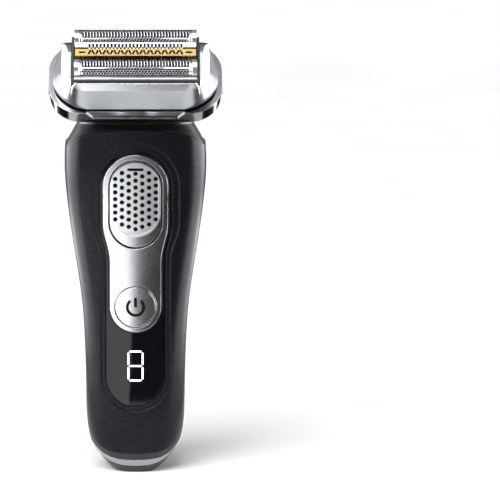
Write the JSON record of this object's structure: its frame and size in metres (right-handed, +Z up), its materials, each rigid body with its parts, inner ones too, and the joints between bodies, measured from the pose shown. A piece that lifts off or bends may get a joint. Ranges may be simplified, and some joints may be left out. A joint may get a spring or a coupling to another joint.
{
  "type": "electric foil shaver",
  "caption": "Cordless electric foil shaver with a tilting head, floating foils and trimmer rails in a lift-off cassette, lock slider, power button, display window and pop-up back trimmer.",
  "frame": {"origin": "middle of the charging socket's mouth, on the plane of the flat foot the handle stands on", "axes": "+Z up along the handle, -Y to the front with the display and button, X across"},
  "size_m": [0.0628, 0.0458, 0.1641],
  "materials": {
    "shell_paint": "satin metallic, fine sparkle",
    "back_plastic": "dark satin",
    "dark_rubber": "matte",
    "grip_rubber": "matte",
    "gloss_black": "high gloss",
    "satin_silver": "satin",
    "button_silver": "satin",
    "slider_silver": "satin",
    "pad_black": "matte",
    "chrome": "mirror",
    "frame_silver": "bright satin",
    "holder_silver": "satin",
    "steel": "satin",
    "foil_steel": "fine polished",
    "guard_steel": "satin",
    "blade_steel": "ground",
    "cell_steel": "satin",
    "gold": "satin gold finish",
    "contact_brass": "bright",
    "dark_plastic": "satin",
    "trimmer_plastic": "satin",
    "drum_black": "matte",
    "seat_black": "matte",
    "carrier_black": "matte",
    "release_grey": "satin",
    "drive_white": "matte",
    "chassis_plastic": "matte",
    "board_green": "solder mask",
    "switch_black": "matte",
    "display_white": "diffuser",
    "socket_black": "matte",
    "core_iron": "matte",
    "coil_copper": "enamelled winding"
  },
  "bodies": {
    "handle": {"front_shell": "shell_paint", "back_shell": "back_plastic", "seam_gasket": "dark_rubber", "bright_band": "chrome", "back_grip": "grip_rubber", "control_panel": "gloss_black", "control_plate": "satin_silver", "slider_track": "satin_silver", "neck_collar": "dark_plastic", "pivot_pins": "steel", "chassis": "chassis_plastic", "main_board": "board_green", "board_screws": "steel", "tact_switch": "switch_black", "display_module": "display_white", "battery": "cell_steel", "charging_socket": "socket_black", "contact_pins": "contact_brass", "trimmer_bed": "chassis_plastic"},
    "button": {"power_button": "button_silver"},
    "lock": {"lock_slider": "slider_silver", "lock_pad": "pad_black"},
    "trimmer": {"trimmer_slide": "trimmer_plastic", "trimmer_comb": "steel"},
    "trimmer_blade": {"trimmer_blade": "blade_steel"},
    "head": {"head_ring": "chrome", "head_drum": "drum_black", "head_seat": "seat_black", "motor_core": "core_iron", "motor_coil": "coil_copper"},
    "release_left": {"release_button_left": "release_grey"},
    "release_right": {"release_button_right": "release_grey"},
    "drive_front": {"drive_front": "drive_white", "magnets_front": "core_iron"},
    "drive_rear": {"drive_rear": "drive_white", "magnets_rear": "core_iron"},
    "cassette": {"cassette_frame": "frame_silver", "cassette_carrier": "carrier_black", "front_foil_springs": "steel", "rear_foil_springs": "steel", "lift_springs": "steel", "guard_springs": "steel"},
    "front_foil": {"front_foil": "foil_steel", "front_foil_holder": "holder_silver"},
    "rear_foil": {"rear_foil": "foil_steel", "rear_foil_holder": "holder_silver"},
    "lift_trimmer": {"lift_trimmer": "gold"},
    "guard_trimmer": {"guard_trimmer": "guard_steel"},
    "front_cutter": {"front_cutter": "blade_steel"},
    "rear_cutter": {"rear_cutter": "blade_steel"},
    "lift_cutter": {"lift_cutter": "blade_steel"},
    "guard_cutter": {"guard_cutter": "blade_steel"}
  },
  "joints": [
    {"name": "power_press", "type": "slide", "parent": "handle", "child": "button", "axis": [0, 1, 0], "range_m": [0, 0.0006], "stiffness_N_per_m": 800, "springref_m": -0.0005},
    {"name": "lock_slide", "type": "slide", "parent": "handle", "child": "lock", "axis": [0, -0.0338, 0.9994], "range_m": [-0.0036, 0]},
    {"name": "trimmer_raise", "type": "slide", "parent": "handle", "child": "trimmer", "axis": [0, 0, 1], "range_m": [0, 0.011]},
    {"name": "trimmer_blade_stroke", "type": "slide", "parent": "trimmer", "child": "trimmer_blade", "axis": [1, 0, 0], "range_m": [-0.0009, 0.0009]},
    {"name": "head_swivel", "type": "hinge", "parent": "handle", "child": "head", "pos_m": [0, 0.002, 0.1352], "axis": [-1, 0, 0], "range_deg": [0, 40]},
    {"name": "release_left_press", "type": "slide", "parent": "head", "child": "release_left", "axis": [1, 0, 0], "range_m": [0, 0.0012], "stiffness_N_per_m": 400, "springref_m": -0.0005},
    {"name": "release_right_press", "type": "slide", "parent": "head", "child": "release_right", "axis": [-1, 0, 0], "range_m": [0, 0.0012], "stiffness_N_per_m": 400, "springref_m": -0.0005},
    {"name": "drive_stroke", "type": "slide", "parent": "head", "child": "drive_front", "axis": [1, 0, 0], "range_m": [-0.0009, 0.0009], "stiffness_N_per_m": 200},
    {"name": "drive_rear_stroke", "type": "slide", "parent": "head", "child": "drive_rear", "axis": [1, 0, 0], "range_m": [-0.0009, 0.0009]},
    {"name": "cassette_lift", "type": "slide", "parent": "head", "child": "cassette", "axis": [0, -0.7431, 0.6691], "range_m": [0, 0.03]},
    {"name": "front_foil_float", "type": "slide", "parent": "cassette", "child": "front_foil", "axis": [0, 0.7431, -0.6691], "range_m": [0, 0.0016], "stiffness_N_per_m": 150, "springref_m": -0.0005, "deforming": ["front_foil_springs"]},
    {"name": "rear_foil_float", "type": "slide", "parent": "cassette", "child": "rear_foil", "axis": [0, 0.7431, -0.6691], "range_m": [0, 0.0016], "stiffness_N_per_m": 150, "springref_m": -0.0005, "deforming": ["rear_foil_springs"]},
    {"name": "lift_trimmer_float", "type": "slide", "parent": "cassette", "child": "lift_trimmer", "axis": [0, 0.7431, -0.6691], "range_m": [0, 0.0016], "stiffness_N_per_m": 150, "springref_m": -0.0005, "deforming": ["lift_springs"]},
    {"name": "guard_trimmer_float", "type": "slide", "parent": "cassette", "child": "guard_trimmer", "axis": [0, 0.7431, -0.6691], "range_m": [0, 0.0016], "stiffness_N_per_m": 150, "springref_m": -0.0005, "deforming": ["guard_springs"]},
    {"name": "front_cutter_stroke", "type": "slide", "parent": "front_foil", "child": "front_cutter", "axis": [1, 0, 0], "range_m": [-0.0009, 0.0009]},
    {"name": "rear_cutter_stroke", "type": "slide", "parent": "rear_foil", "child": "rear_cutter", "axis": [1, 0, 0], "range_m": [-0.0009, 0.0009]},
    {"name": "lift_cutter_stroke", "type": "slide", "parent": "lift_trimmer", "child": "lift_cutter", "axis": [1, 0, 0], "range_m": [-0.0009, 0.0009]},
    {"name": "guard_cutter_stroke", "type": "slide", "parent": "guard_trimmer", "child": "guard_cutter", "axis": [1, 0, 0], "range_m": [-0.0009, 0.0009]}
  ],
  "couplings": [
    {"joint": "drive_rear_stroke", "follows": "drive_stroke", "ratio": -1},
    {"joint": "front_cutter_stroke", "follows": "drive_stroke", "ratio": 1},
    {"joint": "rear_cutter_stroke", "follows": "drive_stroke", "ratio": -1},
    {"joint": "lift_cutter_stroke", "follows": "drive_stroke", "ratio": 1},
    {"joint": "guard_cutter_stroke", "follows": "drive_stroke", "ratio": -1},
    {"joint": "trimmer_blade_stroke", "follows": "drive_stroke", "ratio": 1}
  ]
}
